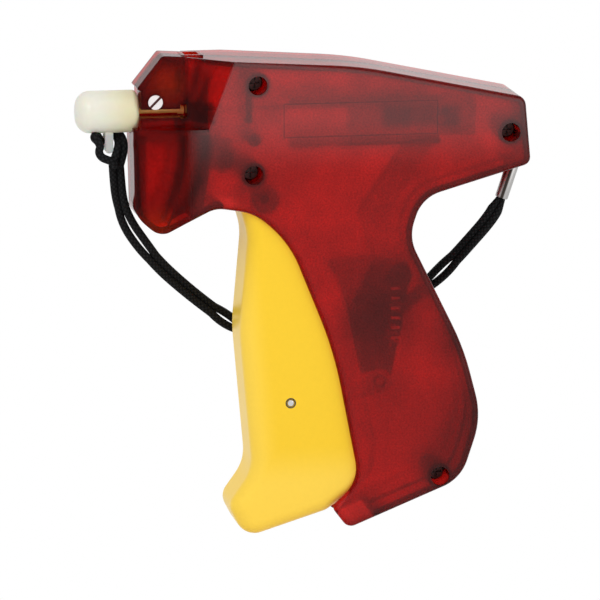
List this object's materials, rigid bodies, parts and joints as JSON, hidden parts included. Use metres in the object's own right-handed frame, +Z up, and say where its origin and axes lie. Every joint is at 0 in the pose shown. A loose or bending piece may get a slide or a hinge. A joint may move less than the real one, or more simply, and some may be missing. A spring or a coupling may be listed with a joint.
{
  "type": "garment tag attacher",
  "caption": "Hand-held garment tag gun: split translucent shells, squeeze trigger, lever-driven slide and plunger, hollow needle with cap, wrist cord.",
  "frame": {"origin": "centre of the grip on the mid-plane between the two shells", "axes": "+X towards the tail, with the needle pointing to -X; +Z up, towards the top of the body; -Y is the left shell, which carries the screw heads"},
  "size_m": [0.1438, 0.0366, 0.1544],
  "materials": {
    "red_plastic": "translucent dark red moulded plastic, fine matte grain on the side panels, gloss on the nose and guard",
    "yellow_plastic": "opaque yellow moulded plastic, smooth",
    "milky_plastic": "milky white translucent plastic",
    "dark_plastic": "dark moulded engineering plastic",
    "nickel_steel": "nickel plated steel",
    "needle_gold": "brass coloured coated steel",
    "spring_steel": "drawn spring wire",
    "bright_ferrule": "crimped bright metal tube",
    "black_cord": "braided black nylon cord"
  },
  "bodies": {
    "housing": {"housing_left": "red_plastic", "housing_right": "red_plastic", "case_screws": "nickel_steel", "trigger_pivot_pin": "nickel_steel", "lever_pivot_pin": "nickel_steel", "return_spring": "spring_steel", "needle": "needle_gold", "needle_collar": "needle_gold", "cutter_blade": "nickel_steel", "feed_wheel_axle": "nickel_steel", "feed_pawl_pin": "nickel_steel", "feed_pawl_spring": "spring_steel", "cord_ferrule": "bright_ferrule", "wrist_cord": "black_cord"},
    "trigger": {"trigger": "yellow_plastic", "trigger_link_pin": "nickel_steel"},
    "link": {"drive_link": "nickel_steel"},
    "lever": {"drive_lever": "dark_plastic", "lever_link_pin": "nickel_steel", "slide_drive_pin": "nickel_steel"},
    "slide": {"slide_block": "dark_plastic", "plunger_rod": "nickel_steel"},
    "feed_wheel": {"feed_wheel": "dark_plastic"},
    "feed_pawl": {"feed_pawl": "nickel_steel"},
    "needle_lock": {"needle_lock_screw": "nickel_steel"},
    "cap": {"needle_cap": "milky_plastic", "cord_hitch": "black_cord"}
  },
  "joints": [
    {"name": "trigger_swing", "type": "hinge", "parent": "housing", "child": "trigger", "pos_m": [-0.02999, 0, 0.05904], "axis": [0, -1, 0], "range_deg": [0, 17], "stiffness_Nm_per_rad": 1.2, "springref_deg": -11.46},
    {"name": "link_swing", "type": "hinge", "parent": "trigger", "child": "link", "pos_m": [-0.02192, 0, -0.00695], "axis": [0, -1, 0], "range_deg": [-24, 1]},
    {"name": "lever_swing", "type": "hinge", "parent": "housing", "child": "lever", "pos_m": [0.01298, 0, 0.03299], "axis": [0, -1, 0], "range_deg": [0, 33], "deforming": ["return_spring"]},
    {"name": "slide_travel", "type": "slide", "parent": "housing", "child": "slide", "axis": [-1, 0, 0], "range_m": [0, 0.029]},
    {"name": "feed_wheel_spin", "type": "hinge", "parent": "housing", "child": "feed_wheel", "pos_m": [-0.04284, 0, 0.07203], "axis": [0, -1, 0], "continuous": true},
    {"name": "feed_pawl_swing", "type": "hinge", "parent": "housing", "child": "feed_pawl", "pos_m": [-0.03352, 0, 0.07807], "axis": [0, 1, 0], "range_deg": [0, 4], "stiffness_Nm_per_rad": 0.02, "deforming": ["feed_pawl_spring"]},
    {"name": "needle_lock_turn", "type": "hinge", "parent": "housing", "child": "needle_lock", "pos_m": [-0.06439, 0, 0.0903], "axis": [0, -1, 0], "range_deg": [0, 90]},
    {"name": "cap_pull", "type": "slide", "parent": "housing", "child": "cap", "axis": [-1, 0, 0], "range_m": [0, 0.03]}
  ],
  "couplings": [
    {"joint": "link_swing", "follows": "trigger_swing", "ratio": -1.33},
    {"joint": "lever_swing", "follows": "trigger_swing", "ratio": 1.8823},
    {"joint": "slide_travel", "follows": "trigger_swing", "m_per_rad": 0.095877}
  ]
}
